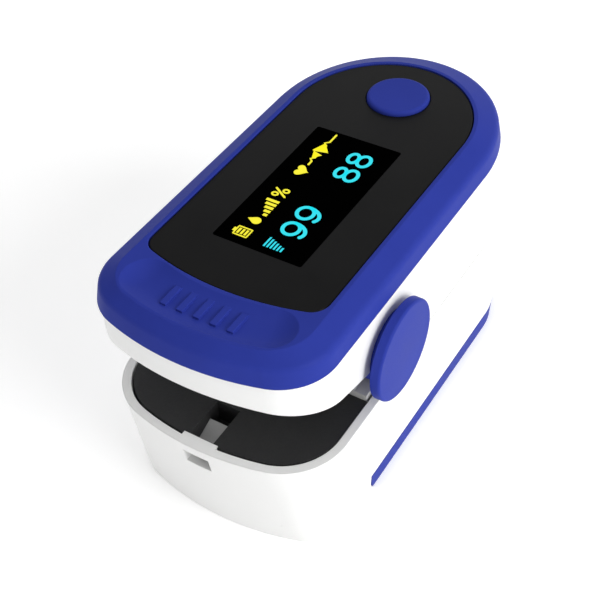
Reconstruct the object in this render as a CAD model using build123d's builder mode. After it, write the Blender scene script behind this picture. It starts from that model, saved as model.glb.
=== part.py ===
"""Fingertip pulse oximeter: two spring-closed shells, a display on top and a battery bay below.

Millimetres. X is across the body, +Y points to the finger end, +Z is up. The origin is the centre
of the footprint, on the surface that the closed oximeter stands on.
"""

from build123d import *
from math import cos, radians, sin
import os

os.makedirs("parts", exist_ok=True)

# ---- driving dimensions -------------------------------------------------------------------------
HALF_LENGTH = 28.6          # the bezel's near and far ends
HALF_WIDTH = 13.9           # the bezel's skirt
FAR_CENTRE = 12.3           # where the top's straight sides turn into the rounded finger end
SQUARER = 14.5, 17.0        # the same on the shells at the parting and on the base
NEAR_BOW = 31.0             # radius of the gently bowed squeeze end
WALL = 1.4                  # walls of the upper shell

PANEL_TOP = 31.5            # face of the display window
SKIRT = 28.3                # joint between bezel and upper shell
WALL_TOP = 29.9             # the bezel's outer wall ends here in a rounded shoulder
SHOULDER_ROUND = 1.1
LIP = PANEL_TOP + 0.1       # the bezel's flat top, round the window and the thumb recess
RIM = 14.7                  # rim of the lower shell at the squeeze end
UPPER_PARTING = 17.0        # lower edge of the upper shell along the finger
LOWER_PARTING = 16.6        # upper edge of the lower shell along the finger

HINGE_Y, HINGE_Z = -10.6, 21.7
PIN_RADIUS = 1.25
TUNNEL_RADIUS = 4.3         # room for the lugs and the spring inside the upper shell
TUNNEL_HALF = 11.35
TUNNEL_ROOF = 26.6
BOSS_RADIUS = 4.2           # stem of each hinge cap
CAP_RADIUS = 5.8
CAP_INNER, CAP_SEAT, CAP_OUTER = 11.45, 14.8, 15.9

CHANNEL_Z = 16.8            # widest level of the finger channel
CHANNEL_HALF = 10.5
ARCH_HEIGHT = 6.2           # upper pad, above CHANNEL_Z
TROUGH_DEPTH = 2.8          # lower pad, below CHANNEL_Z
PAD_NEAR = -4.0             # where both finger pads begin
CHANNEL_NEAR = -2.8         # the finger stops here
SENSOR_Y = 8.0              # emitter above, photodiode below

BUTTON_Y = 17.3
BUTTON_RADIUS = 3.74
BUTTON_PROUD = 0.5
DISPLAY_Y = -3.0            # centre of the lit area

DOOR_NEAR = -13.6           # battery door: near end and upper edge
DOOR_TOP = 2.4
DOOR_GAP = 0.2
CELL_RADIUS = 5.1           # AAA cells
CELL_LENGTH = 44.5
CELL_X, CELL_Z = 5.2, 6.9
BAY_NEAR, BAY_FAR = -24.0, 23.2

BOARD_BOTTOM, BOARD_TOP = 26.9, 27.7

# Levels of the outer surfaces: height, half width, near end, far end, near corner radius and,
# where the finger end is squarer than the top's, the start of its curve
WALL_LEVEL = (WALL_TOP, 13.65, -28.3, 28.2, 6.3)
LIP_LEVEL = (LIP, 11.3, -26.8, 24.7, 5.0)
ROUND_ANGLES = (23, 36, 49, 62)
UPPER = [
    (UPPER_PARTING, 14.0, -28.0, 28.5, 7.0, SQUARER[0]),
    (SKIRT, 13.9, -28.3, 28.4, 6.4, FAR_CENTRE),
]
LOWER = [
    (0, 13.5, -25.6, 28.1, 5.4, SQUARER[1]),
    (DOOR_TOP, 13.65, -26.0, 28.5, 5.8, SQUARER[1]),
    (LOWER_PARTING, 13.9, -28.4, 28.55, 8.0, SQUARER[0]),
]
WINDOW = (10.8, -20.5, 24.25, 2.2)


# ---- helpers ------------------------------------------------------------------------------------
def plan(height, half_width, near, far, corner, far_centre=FAR_CENTRE):
    """The body's outline at one height: elliptical finger end, bowed squeeze end."""
    side_near = near + half_width**2 / (2 * NEAR_BOW)
    with BuildSketch(Plane.XY.offset(height)) as outline:
        with BuildLine():
            EllipticalCenterArc((0, far_centre), half_width, far - far_centre, 0, arc_size=180)
            Line((-half_width, far_centre), (-half_width, side_near))
            ThreePointArc((-half_width, side_near), (0, near), (half_width, side_near))
            Line((half_width, side_near), (half_width, far_centre))
        make_face()
        fillet(outline.vertices().group_by(Axis.Y)[0], corner)
    return outline.sketch


def inset(level, wall):
    """The same level, moved inwards by a wall's thickness."""
    height, half_width, near, far, corner, far_centre = level
    return height, half_width - wall, near + wall, far - wall, corner - wall / 2, far_centre


def form(levels, mode=Mode.ADD):
    """A solid through the outlines of successive levels, straight between each pair."""
    for low, high in zip(levels, levels[1:]):
        loft([plan(*low), plan(*high)], ruled=True, mode=mode)


def slab(bottom, top, outline, mode=Mode.ADD):
    """A plate with the body's outline and upright walls."""
    extrude(plan(bottom, *outline), amount=top - bottom, mode=mode)


def side_region(points, rounding=0, corner=0):
    """A region of the side view, right across the body; one corner may be rounded."""
    with BuildSketch(Plane.YZ) as region:
        with BuildLine():
            Polyline(*points, close=True)
        make_face()
        if rounding:
            at = Vector(0, *points[corner])
            fillet(region.vertices().sort_by_distance(at)[0], rounding)
    return extrude(region.sketch, amount=HALF_WIDTH + 5, both=True, mode=Mode.PRIVATE)


def block(x, y, z, mode=Mode.ADD):
    """A box from its ranges along the three axes."""
    with Locations((sum(x) / 2, sum(y) / 2, sum(z) / 2)):
        Box(x[1] - x[0], y[1] - y[0], z[1] - z[0], mode=mode)


def across(radius, x, y=HINGE_Y, z=HINGE_Z, mode=Mode.ADD):
    """A cylinder along X, on the hinge axis unless it is placed elsewhere."""
    with Locations(Location(((x[0] + x[1]) / 2, y, z), (0, 90, 0))):
        Cylinder(radius, x[1] - x[0], mode=mode)


def upright(radius, z, mode=Mode.ADD):
    """A cylinder between two heights at the current locations."""
    with Locations((0, 0, (z[0] + z[1]) / 2)):
        Cylinder(radius, z[1] - z[0], mode=mode)


def channel(rise, y):
    """The finger channel: an elliptical tunnel along Y with the given rise above or below."""
    with BuildSketch(Plane.XZ.offset(-y[0])) as section:
        with Locations((0, CHANNEL_Z)):
            Ellipse(CHANNEL_HALF, rise)
    extrude(section.sketch, amount=y[0] - y[1], mode=Mode.SUBTRACT)


def save(piece, name):
    piece.part.label = name
    export_step(piece.part, f"parts/{name}.step")


def shoulder_level(angle, start=10):
    """A level on the rounded shoulder, between the wall's outline and the lip's."""
    height = WALL_TOP + SHOULDER_ROUND * (sin(radians(angle)) - sin(radians(start)))
    inwards = SHOULDER_ROUND * (cos(radians(start)) - cos(radians(angle)))
    share = inwards / (WALL_LEVEL[1] - LIP_LEVEL[1])
    between = (wall + share * (lip - wall) for wall, lip in zip(WALL_LEVEL[1:], LIP_LEVEL[1:]))
    return height, *between


# ---- upper half: bezel and window -----------------------------------------------------------------
LEDGE = 30.7                # the window rests here
CAVITY_TOP = 29.6
SPIGOT_TOP = SKIRT + 0.7    # the upper shell's collar inside the bezel
WINDOW_OPENING = (9.9, -19.6, 23.2, 2.5)
DISH_RADIUS = 5.4           # thumb recess: section radius, depth and middle line
DISH_DEPTH = 0.75
DISH_Y = -23.75
DISH_HALF_ANGLE = 16.5
RIB_COUNT, RIB_PITCH = 5, 2.0
RIB_HEIGHT = 0.35
RIB_Y = -23.3
SPIGOT = (13.1, -26.95, 27.15, 5.6)

bow_centre_y = NEAR_BOW - HALF_LENGTH
dish_centre_z = LIP + DISH_RADIUS - DISH_DEPTH
dish_sweep = bow_centre_y - DISH_Y

with BuildPart() as top_bezel:
    shoulder = [shoulder_level(angle) for angle in ROUND_ANGLES]
    form([(SKIRT, HALF_WIDTH, -HALF_LENGTH, HALF_LENGTH, 6.4), WALL_LEVEL, *shoulder, LIP_LEVEL])
    slab(SKIRT, SPIGOT_TOP + 0.1, (13.15, -27.0, 27.2, 5.6), mode=Mode.SUBTRACT)
    form([(SPIGOT_TOP, 13.15, -27.0, 27.2, 5.6), (CAVITY_TOP, 12.4, -24.9, 26.0, 4.2)], mode=Mode.SUBTRACT)
    slab(CAVITY_TOP, LEDGE, WINDOW_OPENING, mode=Mode.SUBTRACT)
    half_width, near, far, corner = WINDOW
    slab(LEDGE, PANEL_TOP + 1, (half_width + 0.05, near - 0.05, far + 0.05, corner), mode=Mode.SUBTRACT)
    # thumb recess: a round groove that follows the bowed edge, with round ends
    with BuildSketch(Plane.YZ) as groove:
        with Locations((DISH_Y, dish_centre_z)):
            Circle(DISH_RADIUS)
    upright_axis = Axis((0, bow_centre_y, 0), (0, 0, 1))
    for turn in (DISH_HALF_ANGLE, -DISH_HALF_ANGLE):
        revolve(groove.sketch, axis=upright_axis, revolution_arc=turn, mode=Mode.SUBTRACT)
    with Locations((0, bow_centre_y, dish_centre_z)):
        with PolarLocations(dish_sweep, 2, -90 - DISH_HALF_ANGLE, 4 * DISH_HALF_ANGLE, rotate=False):
            Sphere(DISH_RADIUS, mode=Mode.SUBTRACT)
    # grip ribs on the recess floor
    with Locations((0, RIB_Y, LIP - DISH_DEPTH)):
        with GridLocations(RIB_PITCH, 1, RIB_COUNT, 1):
            Box(0.75, 2.8, 2 * RIB_HEIGHT)
save(top_bezel, "top_bezel")

with BuildPart() as display_window:
    slab(LEDGE, PANEL_TOP, WINDOW)
    chamfer(display_window.edges().group_by(Axis.Z)[-1], 0.15)
    with Locations((0, BUTTON_Y, 0)):
        upright(BUTTON_RADIUS + 0.12, (LEDGE, PANEL_TOP), mode=Mode.SUBTRACT)
save(display_window, "display_window")

# ---- upper half: display stack --------------------------------------------------------------------
OLED_X, OLED_Y = (-8.3, 8.3), (DISPLAY_Y - 12.6, DISPLAY_Y + 12.1)
HOLDER_TOP, OLED_TOP = 28.9, 30.3

with BuildPart() as oled_module:
    block(OLED_X, OLED_Y, (HOLDER_TOP, OLED_TOP))
    # the cover glass is shorter than its carrier glass, which holds the driver
    block(OLED_X, (OLED_Y[0], OLED_Y[0] + 2.2), (OLED_TOP - 0.6, OLED_TOP), mode=Mode.SUBTRACT)
    block((-6, 6), (OLED_Y[0] + 0.5, OLED_Y[0] + 1.7), (OLED_TOP - 0.6, OLED_TOP - 0.25))
save(oled_module, "oled_module")

with BuildPart() as display_gasket:
    block((-7.9, 7.9), (-15.3, 9.0), (OLED_TOP, LEDGE))
    block((-5.7, 5.7), (-14.2, 8.2), (OLED_TOP, LEDGE), mode=Mode.SUBTRACT)
save(display_gasket, "display_gasket")

with BuildPart() as display_holder:
    block((-8.3, 8.3), (-15.2, 9.0), (BOARD_TOP, HOLDER_TOP))
    block((-6.9, 6.9), (-13.8, 7.6), (BOARD_TOP, HOLDER_TOP), mode=Mode.SUBTRACT)
save(display_holder, "display_holder")

# ---- upper half: circuit board --------------------------------------------------------------------
SCREW_SPOTS = [(-9.5, -20.4), (9.5, -20.4), (-9.8, 15.0), (9.8, 15.0)]
SCREW_RADIUS = 0.7

with BuildPart() as main_circuit_board:
    slab(BOARD_BOTTOM, BOARD_TOP, (12.1, -24.4, 25.2, 4.5))
    with Locations(*SCREW_SPOTS):
        Hole(SCREW_RADIUS + 0.1)
save(main_circuit_board, "main_circuit_board")

CHIPS = [  # x, y, length across, length along, height below the board
    (0, -20.2, 7.0, 5.6, 0.9),
    (5.4, -18.6, 1.6, 3.0, 0.7),
    (-5.6, -21.8, 2.4, 1.4, 0.6),
    (-4.6, 1.4, 5.0, 4.0, 0.85),
    (4.4, 1.0, 3.0, 3.0, 0.8),
    (-7.6, 9.2, 3.2, 1.6, 0.6),
    (0, 15.6, 4.0, 2.6, 0.8),
]
with BuildPart() as board_chips:
    for x, y, wide, long, deep in CHIPS:
        block((x - wide / 2, x + wide / 2), (y - long / 2, y + long / 2), (BOARD_BOTTOM - deep, BOARD_BOTTOM))
save(board_chips, "board_chips")

with BuildPart() as tact_switch:
    block((-2.6, 2.6), (BUTTON_Y - 2.6, BUTTON_Y + 2.6), (BOARD_TOP, BOARD_TOP + 0.75))
    chamfer(tact_switch.edges().filter_by(Axis.Z), 0.5)
    with Locations((0, BUTTON_Y, 0)):
        upright(0.9, (BOARD_TOP + 0.75, BOARD_TOP + 1.05))
save(tact_switch, "tact_switch")

with BuildPart() as board_screws:
    with Locations(*SCREW_SPOTS):
        upright(SCREW_RADIUS, (25.3, BOARD_TOP))
        upright(1.4, (BOARD_TOP, BOARD_TOP + 0.7))
        with Locations((0, 0, BOARD_TOP + 0.6)):
            Box(1.6, 0.35, 0.3, mode=Mode.SUBTRACT)
            Box(0.35, 1.6, 0.3, mode=Mode.SUBTRACT)
save(board_screws, "board_screws")

# ---- upper half: shell ----------------------------------------------------------------------------
LOWER_EDGE = [(-30, 25.1), (-14.95, 21.35), (-7.6, 21.35), (-7.6, 12), (-30, 12)]
FLOOR = [(-30, 26.3), (-15.9, 22.8), (-15.9, TUNNEL_ROOF), (-5.2, TUNNEL_ROOF), (-5.2, 12), (-30, 12)]

with BuildPart() as upper_cavity:
    form([inset(UPPER[0], WALL), inset(UPPER[1], WALL)])
    add(side_region(FLOOR), mode=Mode.SUBTRACT)

with BuildPart() as upper_shell:
    form(UPPER)
    add(side_region(LOWER_EDGE), mode=Mode.SUBTRACT)
    add(upper_cavity.part, mode=Mode.SUBTRACT)
    # tunnel for the hinge between the halves, and a round seat above each cap's stem
    across(TUNNEL_RADIUS, (-TUNNEL_HALF, TUNNEL_HALF), mode=Mode.SUBTRACT)
    across(BOSS_RADIUS + 0.05, (-CAP_OUTER, CAP_OUTER), mode=Mode.SUBTRACT)
    channel(ARCH_HEIGHT + 0.4, (20, HALF_LENGTH + 1))
    # spigot inside the bezel
    slab(SKIRT, SPIGOT_TOP, SPIGOT)
    slab(SKIRT, SPIGOT_TOP, (12.45, -26.2, 26.4, 5.2), mode=Mode.SUBTRACT)
    # screw posts on the floor
    with Locations(*SCREW_SPOTS[:2]):
        upright(1.7, (23.6, BOARD_BOTTOM))
        upright(SCREW_RADIUS + 0.02, (24.6, BOARD_BOTTOM), mode=Mode.SUBTRACT)
save(upper_shell, "upper_shell")

# ---- upper half: finger pad and its cover ---------------------------------------------------------
PAD_TOP, COVER_TOP = 25.2, 26.0
LED_WINDOW = (-2.5, 2.5), (SENSOR_Y - 2.1, SENSOR_Y + 2.1)
SMALL_BOARD = (-4.5, 4.5), (SENSOR_Y - 3.5, SENSOR_Y + 3.5)
near_of_pads = [(-40, 0), (PAD_NEAR, 0), (PAD_NEAR, 40), (-40, 40)]

with BuildPart() as upper_finger_pad:
    form([(17.3, 12.45, -26, 26.5, 5), (PAD_TOP, 12.4, -26, 26.5, 5)])
    add(side_region(near_of_pads), mode=Mode.SUBTRACT)
    channel(ARCH_HEIGHT, (CHANNEL_NEAR, HALF_LENGTH))
    block(*LED_WINDOW, (20, PAD_TOP), mode=Mode.SUBTRACT)
save(upper_finger_pad, "upper_finger_pad")

with BuildPart() as upper_inner_cover:
    slab(PAD_TOP, COVER_TOP, (12.35, -26, 26.4, 5))
    add(side_region(near_of_pads), mode=Mode.SUBTRACT)
    block(*SMALL_BOARD, (PAD_TOP, COVER_TOP), mode=Mode.SUBTRACT)
    with Locations(*SCREW_SPOTS[2:]):
        upright(1.7, (COVER_TOP, BOARD_BOTTOM))
        upright(SCREW_RADIUS + 0.02, (PAD_TOP, BOARD_BOTTOM), mode=Mode.SUBTRACT)
save(upper_inner_cover, "upper_inner_cover")

with BuildPart() as emitter_board:
    block((-4.45, 4.45), (SENSOR_Y - 3.45, SENSOR_Y + 3.45), (PAD_TOP, COVER_TOP - 0.1))
save(emitter_board, "emitter_board")

with BuildPart() as led_emitter:
    block((-1.6, 1.6), (SENSOR_Y - 1.3, SENSOR_Y + 1.3), (24.5, PAD_TOP))
    with Locations((0, SENSOR_Y, 24.5)):
        Cylinder(1.0, 0.5)
save(led_emitter, "led_emitter")

with BuildPart() as emitter_window:
    block((-2.45, 2.45), (SENSOR_Y - 2.05, SENSOR_Y + 2.05), (23.1, 23.8))
save(emitter_window, "emitter_window")

# ---- power button ---------------------------------------------------------------------------------
with BuildPart() as power_button:
    with Locations((0, BUTTON_Y, 0)):
        upright(BUTTON_RADIUS, (30.4, PANEL_TOP + BUTTON_PROUD))
    fillet(power_button.edges().group_by(Axis.Z)[-1], 0.4)
    with Locations((0, BUTTON_Y, 0)):
        upright(4.5, (29.8, 30.4))
        upright(1.1, (29.2, 29.8))
save(power_button, "power_button")

# ---- hinge ----------------------------------------------------------------------------------------
LUG_X = (8.9, 11.1)
LUG_RADIUS = 3.5
BRACKET_NEAR, BRACKET_FAR = -13.2, -6.4
BRACKET_TOP = 15.3
PLATE_BOTTOM, PLATE_TOP = 12.4, 13.1    # the inner cover's plate under the finger
BRACKET_SCREWS = [(-7.2, HINGE_Y), (7.2, HINGE_Y)]

with BuildPart() as hinge_pin:
    across(PIN_RADIUS, (-13.4, 13.4))
    chamfer(hinge_pin.edges().filter_by(GeomType.CIRCLE), 0.2)
save(hinge_pin, "hinge_pin")

for side, name in ((-1, "hinge_cap_left"), (1, "hinge_cap_right")):
    with BuildPart() as hinge_cap:
        across(BOSS_RADIUS, sorted((side * CAP_INNER, side * CAP_SEAT)))
        across(CAP_RADIUS, sorted((side * CAP_SEAT, side * CAP_OUTER)))
        outer_rim = hinge_cap.edges().filter_by(GeomType.CIRCLE).sort_by(Axis.X)
        fillet(outer_rim[-1] if side > 0 else outer_rim[0], 0.3)
        across(PIN_RADIUS + 0.02, sorted((side * CAP_INNER, side * 13.5)), mode=Mode.SUBTRACT)
    save(hinge_cap, name)

with BuildPart() as hinge_bracket:
    block((-12.6, 12.6), (BRACKET_NEAR, BRACKET_FAR), (PLATE_TOP, BRACKET_TOP))
    for side in (-1, 1):
        lug = sorted((side * LUG_X[0], side * LUG_X[1]))
        block(lug, (HINGE_Y - 2.6, HINGE_Y + 2.6), (BRACKET_TOP, HINGE_Z))
        across(LUG_RADIUS, lug)
    across(PIN_RADIUS + 0.06, (-HALF_WIDTH, HALF_WIDTH), mode=Mode.SUBTRACT)
    with Locations(*BRACKET_SCREWS):
        upright(SCREW_RADIUS + 0.02, (PLATE_TOP, BRACKET_TOP), mode=Mode.SUBTRACT)
save(hinge_bracket, "hinge_bracket")

with BuildPart() as bracket_screws:
    with Locations(*BRACKET_SCREWS):
        upright(SCREW_RADIUS, (PLATE_TOP, BRACKET_TOP))
        upright(1.3, (BRACKET_TOP, BRACKET_TOP + 0.7))
        with Locations((0, 0, BRACKET_TOP + 0.6)):
            Box(1.5, 0.35, 0.3, mode=Mode.SUBTRACT)
            Box(0.35, 1.5, 0.3, mode=Mode.SUBTRACT)
save(bracket_screws, "bracket_screws")

COIL_RADIUS, WIRE_RADIUS = 2.1, 0.4
COIL_TURNS, COIL_PITCH = 5.25, 1.1
LEG_DOWN = HINGE_Z - BRACKET_TOP - WIRE_RADIUS
LEG_BACK = 2.6
coil_width = COIL_TURNS * COIL_PITCH
# local X points to the squeeze end and local Y down, so that the coil starts with an upright leg
coil_plane = Plane(origin=(-coil_width / 2, HINGE_Y, HINGE_Z), x_dir=(0, -1, 0), z_dir=(1, 0, 0))

coil = coil_plane * Helix(COIL_PITCH, coil_width, COIL_RADIUS, lefthand=True)

with BuildPart() as torsion_spring:
    with BuildSketch(Plane(origin=coil @ 0, z_dir=coil % 0)):
        Circle(WIRE_RADIUS)
    sweep(path=coil, is_frenet=True)
    for end, direction, length in ((coil @ 0, (0, 0, -1), LEG_DOWN), (coil @ 1, (0, 1, 0), LEG_BACK)):
        with BuildSketch(Plane(origin=end, z_dir=direction)):
            Circle(WIRE_RADIUS)
        extrude(amount=length)
    with Locations(coil @ 0, coil @ 1):
        Sphere(WIRE_RADIUS)
save(torsion_spring, "torsion_spring")

RIBBON_Y, RIBBON_THICK = -4.6, 0.25
with BuildPart() as flex_cable:
    block((-2.5, 2.5), (RIBBON_Y, RIBBON_Y + RIBBON_THICK), (PLATE_TOP, BOARD_BOTTOM))
save(flex_cable, "flex_cable")

# ---- lower half: shell ----------------------------------------------------------------------------
DOOR_CUT = [(DOOR_NEAR - DOOR_GAP, -1), (DOOR_NEAR - DOOR_GAP, DOOR_TOP + DOOR_GAP),
            (40, DOOR_TOP + DOOR_GAP), (40, -1)]
RIM_EDGE = [(-40, RIM), (-12.2, RIM), (-8.6, LOWER_PARTING), (-8.6, 40), (-40, 40)]
BAY = [
    (1.6, 12.4, -24.9, 26.6, 5.0, SQUARER[0]),
    (DOOR_TOP + DOOR_GAP, 12.7, -25.1, 26.95, 5.3, SQUARER[0]),
    (LOWER_PARTING, 12.95, -27.4, 27.35, 7.2, SQUARER[0]),
]
LEDGE_X, LEDGE_TOP = 11.0, 3.4          # ledge beside the cells
GUIDE_X, GUIDE_LIP_X = 11.9, 12.4       # skirt under the ledge, with an outward lip for the door
GUIDE_BOTTOM, GUIDE_LIP_TOP = 1.5, 1.9
GUIDE_Y = (-13.0, 12.0)
POCKET_BOTTOM = 11.6                    # pocket behind the lanyard slot
SLOT_X, SLOT_Z = 1.6, (11.1, 13.2)
TAB_X, TAB_Y = 2.15, -26.5

with BuildPart() as lower_shell:
    form(LOWER)
    add(side_region(RIM_EDGE), mode=Mode.SUBTRACT)
    add(side_region(DOOR_CUT, rounding=2.4, corner=1), mode=Mode.SUBTRACT)
    form(BAY, mode=Mode.SUBTRACT)
    channel(TROUGH_DEPTH + 0.4, (20, HALF_LENGTH + 1))
    # end ribs behind the battery contacts
    block((-8.6, 8.6), (BAY_NEAR - 1.0, BAY_NEAR - 0.3), (2.8, POCKET_BOTTOM - 0.6))
    block((-8.0, 8.0), (BAY_NEAR - 0.3, BAY_NEAR + 0.5), (3.0, 10.8), mode=Mode.SUBTRACT)
    block((-8.6, 8.6), (BAY_FAR + 0.3, BAY_FAR + 1.2), (2.8, PLATE_BOTTOM - 0.1))
    # guides for the battery door
    for side in (-1, 1):
        block(sorted((side * LEDGE_X, side * 13.1)), GUIDE_Y, (DOOR_TOP + DOOR_GAP, LEDGE_TOP))
        block(sorted((side * LEDGE_X, side * GUIDE_X)), GUIDE_Y, (GUIDE_BOTTOM, LEDGE_TOP))
        block(sorted((side * LEDGE_X, side * GUIDE_LIP_X)), GUIDE_Y, (GUIDE_BOTTOM, GUIDE_LIP_TOP))
    # lanyard slot through the near wall; the cord loops round the rim and its tab
    block((-SLOT_X, SLOT_X), (-HALF_LENGTH, TAB_Y), SLOT_Z, mode=Mode.SUBTRACT)
    block((-TAB_X, TAB_X), (-27.6, TAB_Y), (13.7, RIM))
save(lower_shell, "lower_shell")

# ---- lower half: inner cover, pad and sensor ------------------------------------------------------
TRAY_BOTTOM, TRAY_TOP = 13.4, 14.6
POCKET_X, POCKET_Y = 1.5, (-26.4, -21.2)
RAMP_FAR = -22.8
RAMP = [(POCKET_Y[0], POCKET_BOTTOM), (RAMP_FAR, POCKET_BOTTOM), (RAMP_FAR, 13.3), (POCKET_Y[0], 11.9)]
STEP_Y = BRACKET_NEAR - 0.05

with BuildPart() as lower_inner_cover:
    slab(TRAY_BOTTOM, TRAY_TOP, (12.8, -26.8, 26.5, 7.0))
    add(side_region([(STEP_Y, 0), (40, 0), (40, 40), (STEP_Y, 40)]), mode=Mode.SUBTRACT)
    slab(PLATE_BOTTOM, PLATE_TOP, (12.7, -26.5, 26.5, 6.5))
    add(side_region([(-40, 0), (-14.4, 0), (-14.4, TRAY_BOTTOM), (-40, TRAY_BOTTOM)]), mode=Mode.SUBTRACT)
    block((-12.6, 12.6), (-14.4, STEP_Y), (PLATE_BOTTOM, TRAY_BOTTOM))
    # pocket behind the lanyard slot
    pocket_wall = (-POCKET_X - 0.7, POCKET_X + 0.7), (POCKET_Y[0], POCKET_Y[1] + 0.7)
    block(*pocket_wall, (POCKET_BOTTOM - 0.4, TRAY_BOTTOM))
    block((-POCKET_X, POCKET_X), POCKET_Y, (POCKET_BOTTOM, TRAY_TOP), mode=Mode.SUBTRACT)
    block((-TAB_X - 0.05, TAB_X + 0.05), (-28, TAB_Y + 0.05), (13, TRAY_TOP), mode=Mode.SUBTRACT)
    block(*SMALL_BOARD, (PLATE_BOTTOM, PLATE_TOP), mode=Mode.SUBTRACT)
save(lower_inner_cover, "lower_inner_cover")

with BuildPart() as pocket_ramp:
    with BuildSketch(Plane.YZ):
        with BuildLine():
            Polyline(*RAMP, close=True)
        make_face()
    extrude(amount=POCKET_X, both=True)
save(pocket_ramp, "pocket_ramp")

with BuildPart() as lower_finger_pad:
    form([(PLATE_TOP, 12.6, -26, 26.5, 5), (16.5, 12.75, -26, 26.8, 5)])
    add(side_region(near_of_pads), mode=Mode.SUBTRACT)
    channel(TROUGH_DEPTH, (CHANNEL_NEAR, HALF_LENGTH))
    block(*LED_WINDOW, (PLATE_TOP, 20), mode=Mode.SUBTRACT)
save(lower_finger_pad, "lower_finger_pad")

with BuildPart() as sensor_board:
    block((-4.45, 4.45), (SENSOR_Y - 3.45, SENSOR_Y + 3.45), (PLATE_BOTTOM, PLATE_TOP))
save(sensor_board, "sensor_board")

with BuildPart() as photodiode:
    block((-1.8, 1.8), (SENSOR_Y - 1.6, SENSOR_Y + 1.6), (PLATE_TOP, 13.6))
save(photodiode, "photodiode")

with BuildPart() as sensor_window:
    block((-2.45, 2.45), (SENSOR_Y - 2.05, SENSOR_Y + 2.05), (13.6, 13.95))
save(sensor_window, "sensor_window")

# ---- lower half: batteries ------------------------------------------------------------------------
NUB_RADIUS, NUB_LENGTH = 1.9, 0.8
SPRING_LENGTH = BAY_FAR - BAY_NEAR - CELL_LENGTH
SPRING_WIRE, SPRING_TURNS = 0.28, 3.0

# each cell's positive end lies on a contact plate, and a spring fills the room at its other end
for x, towards, name in ((-CELL_X, 1, "battery_left"), (CELL_X, -1, "battery_right")):
    tip = BAY_FAR if towards > 0 else BAY_NEAR
    with BuildPart(Plane(origin=(x, tip, CELL_Z), z_dir=(0, -towards, 0))) as cell:
        with Locations((0, 0, (CELL_LENGTH + NUB_LENGTH) / 2)):
            Cylinder(CELL_RADIUS, CELL_LENGTH - NUB_LENGTH)
        fillet(cell.edges().filter_by(GeomType.CIRCLE), 0.5)
        with Locations((0, 0, NUB_LENGTH / 2)):
            Cylinder(NUB_RADIUS, NUB_LENGTH)
    save(cell, name)

with BuildPart() as battery_springs:
    for x, start, towards in ((-CELL_X, BAY_NEAR, 1), (CELL_X, BAY_FAR, -1)):
        seat = Plane(origin=(x, start + towards * SPRING_WIRE, CELL_Z), x_dir=(1, 0, 0), z_dir=(0, towards, 0))
        height = SPRING_LENGTH - 2 * SPRING_WIRE
        turns = seat * Helix(height / SPRING_TURNS, height, 2.3, mode=Mode.PRIVATE)
        with BuildSketch(Plane(origin=turns @ 0, z_dir=turns % 0)):
            Circle(SPRING_WIRE)
        sweep(path=turns, is_frenet=True)
save(battery_springs, "battery_springs")

with BuildPart() as battery_contacts:
    for x in (-CELL_X, CELL_X):
        for y in (BAY_NEAR - 0.3, BAY_FAR):
            block((x - 2.6, x + 2.6), (y, y + 0.3), (CELL_Z - 3.6, CELL_Z + 3.6))
save(battery_contacts, "battery_contacts")

# ---- battery door ---------------------------------------------------------------------------------
DOOR_EDGE = [(DOOR_NEAR, -1), (DOOR_NEAR, DOOR_TOP), (40, DOOR_TOP), (40, -1)]
DOOR_PLATE = 1.3
GRIP_Y = 19.0

with BuildPart() as battery_door:
    form(LOWER[:2])
    add(side_region(DOOR_EDGE, rounding=2.4, corner=1), mode=Mode.INTERSECT)
    # hollow inside, with lips that hook over the shell's guides
    slab(DOOR_PLATE, GUIDE_LIP_TOP + 0.15, (GUIDE_LIP_X + 0.2, -40, 26.3, 1), mode=Mode.SUBTRACT)
    slab(GUIDE_LIP_TOP, DOOR_TOP, (GUIDE_X + 0.2, -40, 25.8, 1), mode=Mode.SUBTRACT)
    with Locations((0, GRIP_Y, 0)):
        with GridLocations(1, 1.8, 1, 4):
            Box(9, 0.8, 0.7, mode=Mode.SUBTRACT)
save(battery_door, "battery_door")
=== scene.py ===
"""Looks of the fingertip pulse oximeter: materials, display graphics, pads, ribbon and spring.

Metres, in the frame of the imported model: X across, +Y to the finger end, +Z up.
"""

import math

import bmesh
import bpy
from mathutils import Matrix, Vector


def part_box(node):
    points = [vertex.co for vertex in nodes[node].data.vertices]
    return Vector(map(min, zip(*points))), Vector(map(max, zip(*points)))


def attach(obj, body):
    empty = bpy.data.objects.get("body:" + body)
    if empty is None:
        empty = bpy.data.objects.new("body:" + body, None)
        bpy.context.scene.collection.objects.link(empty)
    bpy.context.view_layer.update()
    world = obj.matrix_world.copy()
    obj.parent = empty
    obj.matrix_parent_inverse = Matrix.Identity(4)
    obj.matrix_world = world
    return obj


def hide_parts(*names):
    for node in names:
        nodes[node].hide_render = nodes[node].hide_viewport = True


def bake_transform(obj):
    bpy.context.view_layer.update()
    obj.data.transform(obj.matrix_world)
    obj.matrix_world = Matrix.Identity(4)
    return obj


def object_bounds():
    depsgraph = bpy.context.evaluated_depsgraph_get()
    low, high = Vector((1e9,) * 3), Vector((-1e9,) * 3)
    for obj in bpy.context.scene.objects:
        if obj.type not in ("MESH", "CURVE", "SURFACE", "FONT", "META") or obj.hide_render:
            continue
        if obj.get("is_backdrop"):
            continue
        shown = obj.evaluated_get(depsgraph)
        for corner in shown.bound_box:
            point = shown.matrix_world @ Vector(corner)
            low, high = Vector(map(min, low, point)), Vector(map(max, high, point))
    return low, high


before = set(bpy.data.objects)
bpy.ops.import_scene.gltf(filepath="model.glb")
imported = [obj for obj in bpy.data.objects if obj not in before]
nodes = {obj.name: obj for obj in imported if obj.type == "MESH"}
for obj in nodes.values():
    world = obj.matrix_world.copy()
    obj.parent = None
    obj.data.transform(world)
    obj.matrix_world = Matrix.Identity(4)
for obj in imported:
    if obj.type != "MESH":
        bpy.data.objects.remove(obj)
cad_low, cad_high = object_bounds()

MM = 0.001
UPPER, LOWER = "upper_half", "lower_half"


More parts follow.
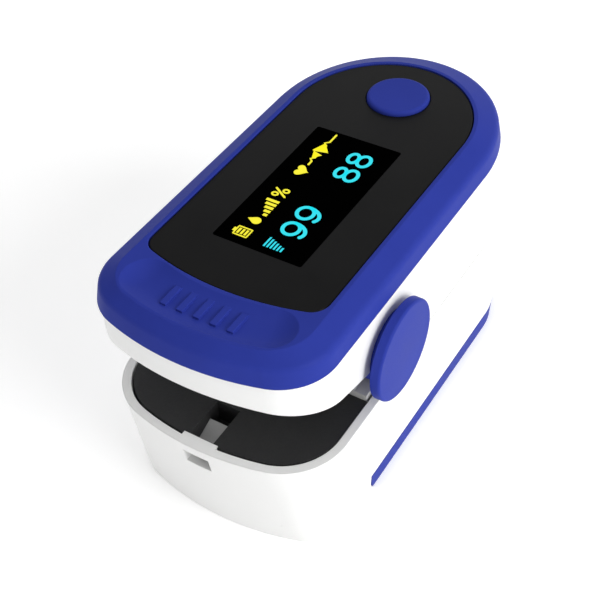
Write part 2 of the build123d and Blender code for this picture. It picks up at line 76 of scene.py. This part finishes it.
# ---- colours and node helpers --------------------------------------------------------------------
def srgb(red, green, blue):
    """A linear colour from display values of 0 to 255."""
    def linear(value):
        value /= 255
        return value / 12.92 if value <= 0.04045 else ((value + 0.055) / 1.055) ** 2.4
    return linear(red), linear(green), linear(blue), 1.0


def scaled(colour, factor):
    """The same colour, darker or lighter."""
    return tuple(min(1.0, part * factor) for part in colour[:3]) + (1.0,)


class Shader:
    """A material's node tree, with short ways to add nodes and link them."""

    def __init__(self, name):
        self.material = bpy.data.materials.new(name)
        self.material.use_nodes = True
        self.tree = self.material.node_tree
        self.surface = self.tree.nodes["Principled BSDF"]
        self.coordinates = self.add("ShaderNodeTexCoord").outputs["Object"]

    def add(self, kind, inputs=None, **settings):
        node = self.tree.nodes.new(kind)
        for key, value in settings.items():
            setattr(node, key, value)
        for key, value in (inputs or {}).items():
            self.feed(node.inputs[key], value)
        return node

    def feed(self, socket, value):
        """Links an output to a socket, or sets the socket's own value."""
        if isinstance(value, bpy.types.NodeSocket):
            self.tree.links.new(value, socket)
        else:
            socket.default_value = value

    def noise(self, size, detail=3.0, roughness=0.5, stretch=None):
        """Noise from 0 to 1 with features of the given size in metres."""
        where = self.coordinates
        if stretch:
            scaling = {0: where, 1: stretch}
            where = self.add("ShaderNodeVectorMath", scaling, operation="MULTIPLY").outputs[0]
        inputs = {"Vector": where, "Scale": 1 / size, "Detail": detail, "Roughness": roughness}
        return self.add("ShaderNodeTexNoise", inputs).outputs["Fac"]

    def ramp(self, value, low, high, out_low=0.0, out_high=1.0):
        """The value mapped from one range to another, clamped."""
        inputs = {"Value": value, "From Min": low, "From Max": high, "To Min": out_low,
                  "To Max": out_high}
        return self.add("ShaderNodeMapRange", inputs).outputs["Result"]

    def math(self, operation, *values):
        node = self.add("ShaderNodeMath", operation=operation)
        for socket, value in zip(node.inputs, values):
            self.feed(socket, value)
        return node.outputs[0]

    def mix(self, factor, first, second):
        node = self.add("ShaderNodeMix", data_type="RGBA")
        # the colour sockets of a mix node come after its number and vector sockets
        for index, value in ((0, factor), (6, first), (7, second)):
            self.feed(node.inputs[index], value)
        return node.outputs[2]

    def place(self, axis):
        """One coordinate of the surface point, in metres in the object's own frame."""
        split = self.add("ShaderNodeSeparateXYZ", {0: self.coordinates})
        return split.outputs["XYZ".index(axis)]

    def stripes(self, axis, pitch):
        """Distance from the middle of each repeat along an axis, from 0 to 0.5."""
        wave = self.math("FRACT", self.math("DIVIDE", self.place(axis), pitch))
        return self.math("ABSOLUTE", self.math("SUBTRACT", wave, 0.5))

    def edges(self, radius):
        """(rounded normal, mask that is 1 on sharp edges) for an edge radius in metres."""
        rounded = self.add("ShaderNodeBevel", {"Radius": radius}, samples=4).outputs[0]
        flat = self.add("ShaderNodeNewGeometry").outputs["Normal"]
        pair = {0: rounded, 1: flat}
        facing = self.add("ShaderNodeVectorMath", pair, operation="DOT_PRODUCT").outputs["Value"]
        return rounded, self.ramp(facing, 0.995, 0.86)

    def bump(self, height, depth, normal=None):
        inputs = {"Height": height, "Distance": depth, "Strength": 1.0}
        if normal is not None:
            inputs["Normal"] = normal
        return self.add("ShaderNodeBump", inputs).outputs[0]

    def fix(self, **values):
        """Sets constant sockets of the surface shader."""
        for name, value in values.items():
            self.surface.inputs[name.replace("_", " ")].default_value = value


def moulded(name, colour, roughness, grain=0.12 * MM, depth=0.004 * MM, tone=0.05, edge_highlight_gain=1.25,
            edge=0.18 * MM, **fixed):
    """Moulded plastic or rubber: fine grain, uneven gloss, cloudy tone, and sharp edges painted
    lighter as a highlight and made glossier.
    """
    shader = Shader(name)
    normal, edge_mask = shader.edges(edge)
    cloud = shader.noise(9 * MM, 4.0, 0.55)
    fine = shader.noise(grain, 2.0, 0.6)
    patchy = shader.ramp(shader.noise(1.6 * MM), 0.35, 0.65, 0.25, 1.0)
    # painted highlight: sharp edges, in random patches, get a lighter base colour and a lower
    # roughness
    edge_highlight = shader.math("MULTIPLY", edge_mask, patchy)
    darker, paler = scaled(colour, 1 - tone), scaled(colour, 1 + tone)
    body = shader.mix(shader.ramp(cloud, 0.3, 0.7), darker, paler)
    body = shader.mix(shader.ramp(fine, 0.55, 0.75, 0.0, 0.25), body, scaled(colour, 1 - 2 * tone))
    # the base colour turns lighter on sharp edges: a painted highlight
    shader.feed(shader.surface.inputs["Base Color"], shader.mix(edge_highlight, body, scaled(colour, edge_highlight_gain)))
    gloss = shader.ramp(cloud, 0.3, 0.7, roughness - 0.04, roughness + 0.04)
    gloss = shader.math("ADD", gloss, shader.ramp(fine, 0.3, 0.7, -0.03, 0.03))
    gloss = shader.math("SUBTRACT", gloss, shader.ramp(edge_highlight, 0, 1, 0, 0.1))
    shader.feed(shader.surface.inputs["Roughness"], gloss)
    shader.feed(shader.surface.inputs["Normal"], shader.bump(fine, depth, normal))
    shader.fix(**fixed)
    return shader.material


def metal(name, colour, roughness, tarnish=0.25):
    """Drawn or plated metal with fine streaks and dull patches."""
    shader = Shader(name)
    lines = shader.noise(0.09 * MM, 2.0, 0.6, stretch=(1.0, 0.12, 1.0))
    patches = shader.ramp(shader.noise(2.2 * MM, 4.0), 0.45, 0.7)
    shade = shader.mix(shader.ramp(lines, 0.35, 0.65), scaled(colour, 0.86), colour)
    shade = shader.mix(shader.math("MULTIPLY", patches, tarnish), shade, scaled(colour, 0.45))
    shader.feed(shader.surface.inputs["Base Color"], shade)
    gloss = shader.ramp(lines, 0.3, 0.7, roughness - 0.07, roughness + 0.07)
    gloss = shader.math("ADD", gloss, shader.ramp(patches, 0, 1, 0, 0.18))
    shader.feed(shader.surface.inputs["Roughness"], gloss)
    shader.feed(shader.surface.inputs["Normal"], shader.bump(lines, 0.004 * MM))
    shader.fix(Metallic=1.0)
    return shader.material


def circuit_board():
    """Green solder mask over copper tracks, with a woven laminate under it."""
    shader = Shader("solder_mask")
    pitch = 0.7 * MM
    tracks = []
    for axis, size in (("X", 3.1 * MM), ("Y", 4.3 * MM)):
        line = shader.ramp(shader.stripes(axis, pitch), 0.30, 0.34, 1.0, 0.0)
        region = shader.ramp(shader.noise(size, 0.0), 0.52, 0.54)
        tracks.append(shader.math("MULTIPLY", line, region))
    copper = shader.math("MAXIMUM", *tracks)
    weave = shader.noise(0.25 * MM, 1.0)
    mask = shader.mix(shader.ramp(weave, 0.4, 0.6), srgb(14, 74, 44), srgb(20, 88, 52))
    shader.feed(shader.surface.inputs["Base Color"], shader.mix(copper, mask, srgb(44, 128, 72)))
    shader.feed(shader.surface.inputs["Roughness"], shader.ramp(weave, 0.3, 0.7, 0.26, 0.4))
    height = shader.math("ADD", copper, weave)
    shader.feed(shader.surface.inputs["Normal"], shader.bump(height, 0.02 * MM))
    shader.fix(Coat_Weight=0.4)
    return shader.material


def ribbon_material():
    """Amber polyimide with copper conductors side by side."""
    shader = Shader("ribbon_film")
    conductor = shader.ramp(shader.stripes("X", 0.6 * MM), 0.2, 0.26, 1.0, 0.0)
    cloud = shader.noise(3 * MM)
    film = shader.mix(cloud, srgb(150, 82, 22), srgb(176, 104, 34))
    film = shader.mix(conductor, film, srgb(205, 132, 70))
    shader.feed(shader.surface.inputs["Base Color"], film)
    shader.feed(shader.surface.inputs["Roughness"], shader.ramp(cloud, 0.3, 0.7, 0.28, 0.42))
    shader.feed(shader.surface.inputs["Normal"], shader.bump(conductor, 0.03 * MM))
    return shader.material


def cell_material(name, ends):
    """A cell's jacket: dark body, copper band at its positive end, bare metal at both ends."""
    shader = Shader(name)
    positive, negative = ends
    along = shader.place("Y")
    from_tip = shader.ramp(along, positive, negative, 0.0, abs(negative - positive) / MM)

    def between(start, end):
        """Mask of a band, between two distances from the positive tip in millimetres."""
        rising = shader.ramp(from_tip, start, start + 0.1)
        falling = shader.ramp(from_tip, end, end + 0.1, 1.0, 0.0)
        return shader.math("MULTIPLY", rising, falling)

    band = between(1.6, 11.9)
    line = between(12.8, 13.3)
    jacket = between(1.5, 43.7)
    scuffs = shader.noise(0.5 * MM, 5.0, 0.7, stretch=(1.0, 0.25, 1.0))
    body = shader.mix(shader.ramp(scuffs, 0.6, 0.75, 0.0, 0.5), srgb(38, 44, 52), srgb(74, 80, 88))
    body = shader.mix(shader.math("MAXIMUM", band, line), body, srgb(196, 148, 66))
    shader.feed(shader.surface.inputs["Base Color"], shader.mix(jacket, srgb(190, 190, 186), body))
    shader.feed(shader.surface.inputs["Metallic"], shader.math("SUBTRACT", 1.0, jacket))
    shader.feed(shader.surface.inputs["Roughness"], shader.ramp(scuffs, 0.3, 0.8, 0.24, 0.5))
    shader.feed(shader.surface.inputs["Normal"], shader.bump(scuffs, 0.006 * MM))
    return shader.material


def light_material(name, colour, strength):
    """A lit display area: pixels in rows, a little uneven in brightness."""
    shader = Shader(name)
    pixel = 0.17 * MM
    gaps = []
    for axis in "XY":
        gaps.append(shader.ramp(shader.stripes(axis, pixel), 0.40, 0.5, 1.0, 0.82))
    glow = shader.math("MULTIPLY", *gaps)
    uneven = shader.ramp(shader.noise(1.2 * MM), 0.3, 0.7, 0.94, 1.0)
    level = shader.math("MULTIPLY", glow, uneven)
    lit = shader.mix(level, (0.0, 0.0, 0.0, 1.0), colour)
    shader.feed(shader.surface.inputs["Emission Color"], lit)
    shader.fix(Base_Color=scaled(colour, 0.05), Emission_Strength=strength, Roughness=0.3)
    return shader.material


# ---- mesh helpers --------------------------------------------------------------------------------
def piece(name, points, faces, material, body, slot=None, smooth=True):
    """A new mesh object that rides on a body."""
    mesh = bpy.data.meshes.new(name)
    mesh.from_pydata([tuple(point) for point in points], [], faces)
    mesh.validate()
    mesh.polygons.foreach_set("use_smooth", [smooth] * len(mesh.polygons))
    mesh.materials.append(material)
    made = bpy.data.objects.new(name, mesh)
    bpy.context.scene.collection.objects.link(made)
    if body:
        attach(made, body)
    return made


def skin(rings, closed_ends=True):
    """Points and faces of a surface through closed rings of equal point counts."""
    count = len(rings[0])
    points = [point for ring in rings for point in ring]
    faces = []
    for row in range(len(rings) - 1):
        for i in range(count):
            j = (i + 1) % count
            base, above = row * count, (row + 1) * count
            faces.append((base + i, base + j, above + j, above + i))
    if closed_ends:
        faces.append(tuple(reversed(range(count))))
        faces.append(tuple(range(len(points) - count, len(points))))
    return points, faces


def tube(path, radius, sides=12):
    """A round wire along a path, with frames carried along it so that it doesn't twist."""
    rings = []
    side = None
    for i, point in enumerate(path):
        ahead = path[min(i + 1, len(path) - 1)] - path[max(i - 1, 0)]
        ahead.normalize()
        if side is None:
            side = ahead.orthogonal().normalized()
        side = (side - ahead * side.dot(ahead)).normalized()
        other = ahead.cross(side)
        ring = []
        for k in range(sides):
            turn = math.tau * k / sides
            ring.append(point + side * math.cos(turn) * radius + other * math.sin(turn) * radius)
        rings.append(ring)
    return skin(rings)


def arc(centre, radii, start, end, count):
    """Points on an ellipse, in degrees, as (u, v) pairs."""
    angles = (math.radians(start + (end - start) * i / count) for i in range(count + 1))
    (u, v), (across, up) = centre, radii
    return [(u + across * math.cos(a), v + up * math.sin(a)) for a in angles]


# ---- materials of the moulded parts --------------------------------------------------------------
BLUE = srgb(44, 57, 148)
WHITE = srgb(238, 238, 237)
# in these calls the edge factor (1.0 and above) sets how much lighter sharp edges are painted, as a
# highlight
blue_plastic = moulded("blue_plastic", BLUE, 0.42, edge_highlight_gain=1.35, Specular_IOR_Level=0.03)
white_plastic = moulded("white_plastic", WHITE, 0.36, tone=0.012, edge_highlight_gain=1.04,
                        Specular_IOR_Level=0.35)
inner_white = moulded("inner_white_plastic", srgb(205, 205, 203), 0.5, tone=0.03, edge_highlight_gain=1.05)
black_plastic = moulded("black_plastic", srgb(26, 26, 27), 0.55, grain=0.3 * MM, depth=0.03 * MM,
                        edge_highlight_gain=1.8)
grey_plastic = moulded("grey_plastic", srgb(178, 178, 178), 0.5, tone=0.06)
window_black = moulded("window_black", srgb(10, 10, 11), 0.34, depth=0.002 * MM, edge_highlight_gain=1.6,
                       Specular_IOR_Level=0.13)
display_glass = moulded("display_glass", srgb(10, 11, 14), 0.12, depth=0.001 * MM, tone=0.03,
                        edge_highlight_gain=1.5)
foam = moulded("gasket_foam", srgb(24, 24, 24), 0.9, grain=0.35 * MM, depth=0.08 * MM)
rubber = moulded("pad_rubber", srgb(22, 22, 23), 0.62, grain=0.22 * MM, depth=0.012 * MM, edge_highlight_gain=1.7,
                 Sheen_Weight=0.25)
chip = moulded("chip_epoxy", srgb(28, 28, 30), 0.5, grain=0.1 * MM, tone=0.1, edge_highlight_gain=1.7,
               edge=0.08 * MM)
clear = moulded("clear_window", srgb(120, 34, 38), 0.12, depth=0.001 * MM, edge=0.08 * MM,
                Coat_Weight=0.6)
steel = metal("spring_steel", srgb(188, 188, 190), 0.28)
plated = metal("plated_contact", srgb(205, 200, 188), 0.24)
screw_steel = metal("screw_steel", srgb(150, 150, 155), 0.34, tarnish=0.35)
board_green = circuit_board()

FINISHES = {
    "top_bezel": blue_plastic, "power_button": blue_plastic, "hinge_cap_left": blue_plastic,
    "hinge_cap_right": blue_plastic, "battery_door": blue_plastic,
    "upper_shell": white_plastic, "lower_shell": white_plastic,
    "hinge_bracket": inner_white, "upper_inner_cover": inner_white, "display_holder": inner_white,
    "lower_inner_cover": black_plastic, "tact_switch": black_plastic, "pocket_ramp": grey_plastic,
    "display_window": window_black, "oled_module": display_glass, "display_gasket": foam,
    "main_circuit_board": board_green, "emitter_board": board_green, "sensor_board": board_green,
    "board_chips": chip, "photodiode": chip, "led_emitter": clear, "emitter_window": clear,
    "sensor_window": clear, "hinge_pin": steel, "board_screws": screw_steel,
    "bracket_screws": screw_steel, "battery_springs": steel, "battery_contacts": plated,
}
for node_name, finish in FINISHES.items():
    node = nodes[node_name]
    node.data.materials.clear()
    node.data.materials.append(finish)

for node_name, sign in (("battery_left", 1), ("battery_right", -1)):
    low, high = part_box(node_name)
    tips = (high.y, low.y) if sign > 0 else (low.y, high.y)
    nodes[node_name].data.materials.clear()
    nodes[node_name].data.materials.append(cell_material(node_name + "_jacket", tips))


# ---- rubber finger pads --------------------------------------------------------------------------
PAD_GRID = 0.32 * MM
GROOVE_PITCH, GROOVE_DEPTH = 1.9 * MM, 0.22 * MM


def rubber_pad(name, node_name, body, towards):
    """A moulded pad in place of its CAD solid, with rounded edges and cross grooves."""
    source = nodes[node_name]
    mesh = source.data.copy()
    mesh.name = name
    made = bpy.data.objects.new(name, mesh)
    bpy.context.scene.collection.objects.link(made)
    remesh = made.modifiers.new("even_grid", "REMESH")
    remesh.mode = "VOXEL"
    remesh.voxel_size = PAD_GRID
    soften = made.modifiers.new("soften", "SMOOTH")
    soften.factor = 0.5
    soften.iterations = 6
    depsgraph = bpy.context.evaluated_depsgraph_get()
    final = bpy.data.meshes.new_from_object(made.evaluated_get(depsgraph))
    made.modifiers.clear()
    made.data = final
    low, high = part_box(node_name)
    grooved = (low.y + 10 * MM, high.y - 4.5 * MM)
    for vertex, normal in zip(final.vertices, [v.normal.copy() for v in final.vertices]):
        facing = normal.z * towards
        x, y, _ = vertex.co
        fade = min(1.0, max(0.0, min(y - grooved[0], grooved[1] - y) / (1.2 * MM)))
        fade *= min(1.0, max(0.0, (8.0 * MM - abs(x)) / (1.5 * MM)))
        if facing > 0.2 and fade > 0:
            wave = 0.5 + 0.5 * math.cos(math.tau * (y - grooved[0]) / GROOVE_PITCH)
            vertex.co -= normal * GROOVE_DEPTH * wave**3 * fade
    final.polygons.foreach_set("use_smooth", [True] * len(final.polygons))
    final.materials.clear()
    final.materials.append(rubber)
    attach(made, body)
    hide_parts(node_name)


rubber_pad("upper_rubber_pad", "upper_finger_pad", UPPER, towards=-1)
rubber_pad("lower_rubber_pad", "lower_finger_pad", LOWER, towards=1)


# ---- ribbon and torsion spring, which cross the hinge --------------------------------------------
def ribbon():
    low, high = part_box("flex_cable")
    middle_y = (low.y + high.y) / 2
    thick = 0.12 * MM
    slack = 0.35 * MM
    rings = []
    for i in range(41):
        share = i / 40
        z = low.z + 0.02 * MM + (high.z - low.z - 0.04 * MM) * share
        y = middle_y + slack * math.sin(math.tau * share)
        rings.append([(x, y + dy, z) for x, dy in (
            (low.x, -thick / 2), (high.x, -thick / 2), (high.x, thick / 2), (low.x, thick / 2))])
    made = piece("ribbon_cable", *skin(rings), ribbon_material(), None, "ribbon")
    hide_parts("flex_cable")
    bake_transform(made)


def hinge_spring():
    low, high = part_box("torsion_spring")
    pin_low, pin_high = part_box("hinge_pin")
    axis_y, axis_z = (pin_low.y + pin_high.y) / 2, (pin_low.z + pin_high.z) / 2
    wire = 0.4 * MM
    coil = 2.1 * MM
    turns, pitch = 5.25, 1.1 * MM
    width = turns * pitch
    start_x = -width / 2
    steps = 180
    path = [Vector((start_x, axis_y - coil, low.z + i * (axis_z - low.z) / 8)) for i in range(8)]
    for i in range(steps + 1):
        turn = math.tau * turns * i / steps
        across = start_x + width * i / steps
        path.append(Vector((across, axis_y - coil * math.cos(turn),
                            axis_z + coil * math.sin(turn))))
    end = path[-1]
    path += [end + Vector((0, (high.y - end.y) * i / 6, 0)) for i in range(1, 7)]
    made = piece("hinge_spring", *tube(path, wire), steel, None, "spring_steel")
    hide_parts("torsion_spring")
    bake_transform(made)


ribbon()
hinge_spring()


# ---- display -------------------------------------------------------------------------------------
_, window_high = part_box("display_window")
oled_low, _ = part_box("oled_module")
LIT_LENGTH, LIT_WIDTH = 21.744 * MM, 10.864 * MM
LIT_CENTRE_Y = oled_low.y + 12.6 * MM
LIT_HEIGHT = 0.02 * MM
MARK_HEIGHT = 0.03 * MM
FACE_Z = window_high.z

lit_black = moulded("unlit_pixels", srgb(1, 1, 1), 0.3, depth=0.0005 * MM, tone=0.02, edge_highlight_gain=1.0,
                    Specular_IOR_Level=0.0)
yellow = light_material("lit_yellow", srgb(250, 240, 40), 1.0)
cyan = light_material("lit_cyan", srgb(30, 225, 240), 1.0)


def on_display(u, v, z):
    """A point (u, v) mm from the lit area's centre: u to the right, v up as it reads."""
    return Vector((-v * MM, LIT_CENTRE_Y + u * MM, z))


def raised(outline, bottom, top):
    """A thin plate from a closed outline of (u, v) points."""
    return skin([[on_display(u, v, z) for u, v in outline] for z in (bottom, top)])


def stroke(path, width, closed=False):
    """The outline of a round-ended stroke along (u, v) points, or two outlines for a closed one."""
    count = len(path)
    left, right, normals = [], [], []
    for i, (u, v) in enumerate(path):
        before = path[(i - 1) % count] if closed else path[max(i - 1, 0)]
        after = path[(i + 1) % count] if closed else path[min(i + 1, count - 1)]
        along = Vector((after[0] - before[0], after[1] - before[1])).normalized()
        normal = Vector((-along.y, along.x))
        normals.append(normal)
        left.append((u + normal.x * width / 2, v + normal.y * width / 2))
        right.append((u - normal.x * width / 2, v - normal.y * width / 2))
    if closed:
        return left, right

    def cap(point, normal, sign):
        base = math.degrees(math.atan2(normal.y, normal.x))
        return arc(point, (width / 2, width / 2), base, base - sign * 180, 8)[1:-1]
    start = cap(path[0], -normals[0], 1)
    end = cap(path[-1], normals[-1], 1)
    return left + end + right[::-1] + start


class Marks:
    """Collects strokes and plates of one colour into one mesh."""

    def __init__(self):
        self.points, self.faces = [], []

    def take(self, points, faces):
        base = len(self.points)
        self.points += points
        self.faces += [tuple(base + i for i in face) for face in faces]

    def plate(self, outline):
        bottom = FACE_Z + LIT_HEIGHT
        self.take(*raised(outline, bottom, bottom + MARK_HEIGHT))

    def line(self, path, width):
        self.plate(stroke(path, width))

    def loop(self, path, width):
        """A closed stroke, as a flat ring."""
        left, right = stroke(path, width, closed=True)
        bottom = FACE_Z + LIT_HEIGHT
        rings = [(left, bottom), (left, bottom + MARK_HEIGHT), (right, bottom + MARK_HEIGHT),
                 (right, bottom)]
        rings = [[on_display(u, v, z) for u, v in ring] for ring, z in rings]
        self.take(*skin(rings + rings[:1], closed_ends=False))

    def make(self, name, material):
        made = piece(name, self.points, self.faces, material, UPPER, "display_glass", smooth=False)
        joined = bmesh.new()
        joined.from_mesh(made.data)
        bmesh.ops.remove_doubles(joined, verts=joined.verts, dist=1e-8)
        bmesh.ops.recalc_face_normals(joined, faces=joined.faces)
        joined.to_mesh(made.data)
        joined.free()


def box_outline(u, v):
    """A rectangle from its ranges."""
    return [(u[0], v[0]), (u[1], v[0]), (u[1], v[1]), (u[0], v[1])]


def digit_nine(marks, u, v, width, height, weight):
    half = (width - weight) / 2
    bowl = (u + width / 2, v + height - weight / 2 - 0.30 * height)
    marks.loop(arc(bowl, (half, 0.30 * height), 0, 350, 35), weight)
    tail = arc((bowl[0] - 0.10 * width, bowl[1]), (half + 0.10 * width, bowl[1] - v - weight / 2),
               0, -118, 22)
    marks.line(tail, weight)


def digit_eight(marks, u, v, width, height, weight):
    centre = u + width / 2
    low_rise, high_rise = 0.235 * height, 0.19 * height
    marks.loop(arc((centre, v + weight / 2 + low_rise), ((width - weight) / 2, low_rise), 0, 350,
                   35), weight)
    top = v + height - weight / 2 - high_rise
    marks.loop(arc((centre, top), ((width - weight) / 2 * 0.86, high_rise), 0, 350, 35), weight)


def percent(marks, u, v, height, weight):
    ring = 0.21 * height
    marks.line([(u + 0.12 * height, v), (u + 0.75 * height, v + height)], weight)
    for du, dv in ((0.16, 0.78), (0.72, 0.22)):
        marks.loop(arc((u + du * height, v + dv * height), (ring * 0.8, ring), 0, 340, 17),
                   weight * 0.9)


def drop(marks, u, v, height):
    """A filled drop: a round bottom drawn up to a point."""
    radius = 0.34 * height
    round_part = arc((u + radius, v + radius), (radius, radius), -212, 32, 24)
    marks.plate(round_part + [(u + radius, v + height)])


def heart(marks, u, v, width, height):
    """A filled heart from its well-known parametric curve."""
    outline = []
    for i in range(40):
        t = math.tau * i / 40
        across = math.sin(t) ** 3
        up = (13 * math.cos(t) - 5 * math.cos(2 * t) - 2 * math.cos(3 * t) - math.cos(4 * t)) / 16
        outline.append((u + width / 2 * (1 + across), v + height * (0.54 + 0.5 * up)))
    marks.plate(outline)


def display():
    half_u, half_v = LIT_LENGTH / MM / 2, LIT_WIDTH / MM / 2
    corner = 0.25
    outline = []
    for cu, cv, start in ((1, 1, 0), (-1, 1, 90), (-1, -1, 180), (1, -1, 270)):
        centre = (cu * (half_u - corner), cv * (half_v - corner))
        outline += arc(centre, (corner, corner), start, start + 90, 6)
    plate = raised(outline, FACE_Z - 0.05 * MM, FACE_Z + LIT_HEIGHT)
    piece("lit_area", *plate, lit_black, UPPER, "display_glass", smooth=False)

    # first row: battery level, then an oxygen mark and a pulse mark
    row = Marks()
    low, rise = 1.95, 1.6
    battery_u, battery_v = (-9.7, -8.4), (1.95, 3.6)
    frame_line = []
    corners = box_outline(battery_u, battery_v)
    for (u0, v0), (u1, v1) in zip(corners, corners[1:] + corners[:1]):
        frame_line += [(u0 + (u1 - u0) * i / 6, v0 + (v1 - v0) * i / 6) for i in range(6)]
    row.loop(frame_line, 0.17)
    middle = sum(battery_u) / 2
    row.plate(box_outline((middle - 0.28, middle + 0.28),
                          (battery_v[1] + 0.1, battery_v[1] + 0.34)))
    for i in range(3):
        row.plate(box_outline((battery_u[0] + 0.22, battery_u[1] - 0.22),
                              (2.2 + i * 0.45, 2.46 + i * 0.45)))
    drop(row, -7.4, low, rise)
    for i in range(5):
        row.plate(box_outline((-5.8 + i * 0.6, -5.42 + i * 0.6), (low, low + 0.5 + i * 0.27)))
    percent(row, -2.3, low, rise, 0.25)
    heart(row, 1.9, low - 0.05, 1.8, rise + 0.1)
    trace = [(0, 0.45), (0.7, 0.45), (1.05, 0.68), (1.4, 0.45), (1.8, 0.45), (2.05, 0.2),
             (2.5, 1.0),
             (2.95, -0.05), (3.25, 0.45), (3.9, 0.45), (4.3, 0.72), (4.7, 0.45), (6.2, 0.45)]
    row.line([(4.1 + u, low + v * rise) for u, v in trace], 0.24)
    row.make("display_marks", yellow)

    # second row: signal bars and the two readings
    readings = Marks()
    for i in range(6):
        v = -0.45 - i * 0.4
        readings.plate([(-9.9, v), (-8.35 - 0.17 * i, v), (-8.42 - 0.17 * i, v + 0.2),
                        (-9.9, v + 0.2)])
    weight, width, height = 0.43, 2.4, 3.05
    for u in (-7.4, -4.5):
        digit_nine(readings, u, -3.35, width, height, weight)
    for u in (3.35, 6.25):
        digit_eight(readings, u, -3.45, width, height, weight)
    readings.make("display_readings", cyan)


display()


# ---- studio --------------------------------------------------------------------------------------
FLOOR_GLOW_NEAR, FLOOR_GLOW_FAR = 0.28, 0.62
FLOOR_HALF = 3.0            # half the floor's side
FLOOR_BEND_START = 0.8      # behind this the floor curves up
FLOOR_BEND = 0.35
FLOOR_GAP = 0.00002         # below the object's lowest point
WORLD_STRENGTH = 0.42


def floor():
    """A pale floor that curves up far behind the object."""
    rings = []
    for i in range(33):
        y = -FLOOR_HALF + 2 * FLOOR_HALF * i / 32
        rise = max(0.0, y - FLOOR_BEND_START) ** 2 * FLOOR_BEND
        rings.append([(x * FLOOR_HALF / 8, y, rise + cad_low.z - FLOOR_GAP) for x in range(-8, 9)])
    count = len(rings[0])
    points = [point for ring in rings for point in ring]
    faces = [(r * count + i, r * count + i + 1, (r + 1) * count + i + 1, (r + 1) * count + i)
             for r in range(len(rings) - 1) for i in range(count - 1)]
    shader = Shader("studio_floor")
    shader.feed(shader.surface.inputs["Base Color"],
                shader.mix(shader.noise(0.4), srgb(250, 250, 250), srgb(253, 253, 253)))
    away = shader.add("ShaderNodeVectorMath", {0: shader.coordinates},
                      operation="LENGTH").outputs["Value"]
    glow = shader.ramp(away, 0.05, 0.35, FLOOR_GLOW_NEAR, FLOOR_GLOW_FAR)
    shader.feed(shader.surface.inputs["Emission Strength"], glow)
    shader.fix(Roughness=0.9, Specular_IOR_Level=0.1, Emission_Color=(1, 1, 1, 1))
    made = piece("studio_floor", points, faces, shader.material, None)
    made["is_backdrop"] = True


def area_light(name, place, target, size, power):
    light = bpy.data.lights.new(name, "AREA")
    light.shape = "DISK"
    light.size = size
    light.energy = power
    made = bpy.data.objects.new(name, light)
    bpy.context.scene.collection.objects.link(made)
    made.location = place
    made.rotation_mode = "QUATERNION"
    made.rotation_quaternion = (Vector(target) - Vector(place)).to_track_quat("-Z", "Y")


def studio():
    floor()
    centre = (cad_low + cad_high) / 2
    area_light("key_light", (0.5, -0.05, 0.25), centre, 0.4, 2.2)
    area_light("top_light", (-0.05, 0.1, 0.6), centre, 0.5, 0.75)
    area_light("front_fill", (0.0, -0.6, 0.2), centre, 0.4, 0.1)
    world = bpy.data.worlds.new("studio")
    world.use_nodes = True
    world.node_tree.nodes["Background"].inputs["Color"].default_value = (1.0, 1.0, 1.0, 1.0)
    world.node_tree.nodes["Background"].inputs["Strength"].default_value = WORLD_STRENGTH
    bpy.context.scene.world = world
    bpy.context.scene.view_settings.view_transform = "Standard"


# ---- camera --------------------------------------------------------------------------------------
CAMERA_PLACE = (0.054281, -0.088195, 0.112041)
CAMERA_TURN = (46.2411, 2.1933, 31.3693)    # degrees about X, Y and Z
CAMERA_LENS, CAMERA_SENSOR = 71.31, 36      # mm

camera_data = bpy.data.cameras.new("camera")
camera_data.lens = CAMERA_LENS
camera_data.sensor_width = CAMERA_SENSOR
camera_data.clip_start = 0.005
camera = bpy.data.objects.new("camera", camera_data)
camera.location = CAMERA_PLACE
camera.rotation_euler = [math.radians(angle) for angle in CAMERA_TURN]
bpy.context.scene.collection.objects.link(camera)
bpy.context.scene.camera = camera

studio()

low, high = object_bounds()
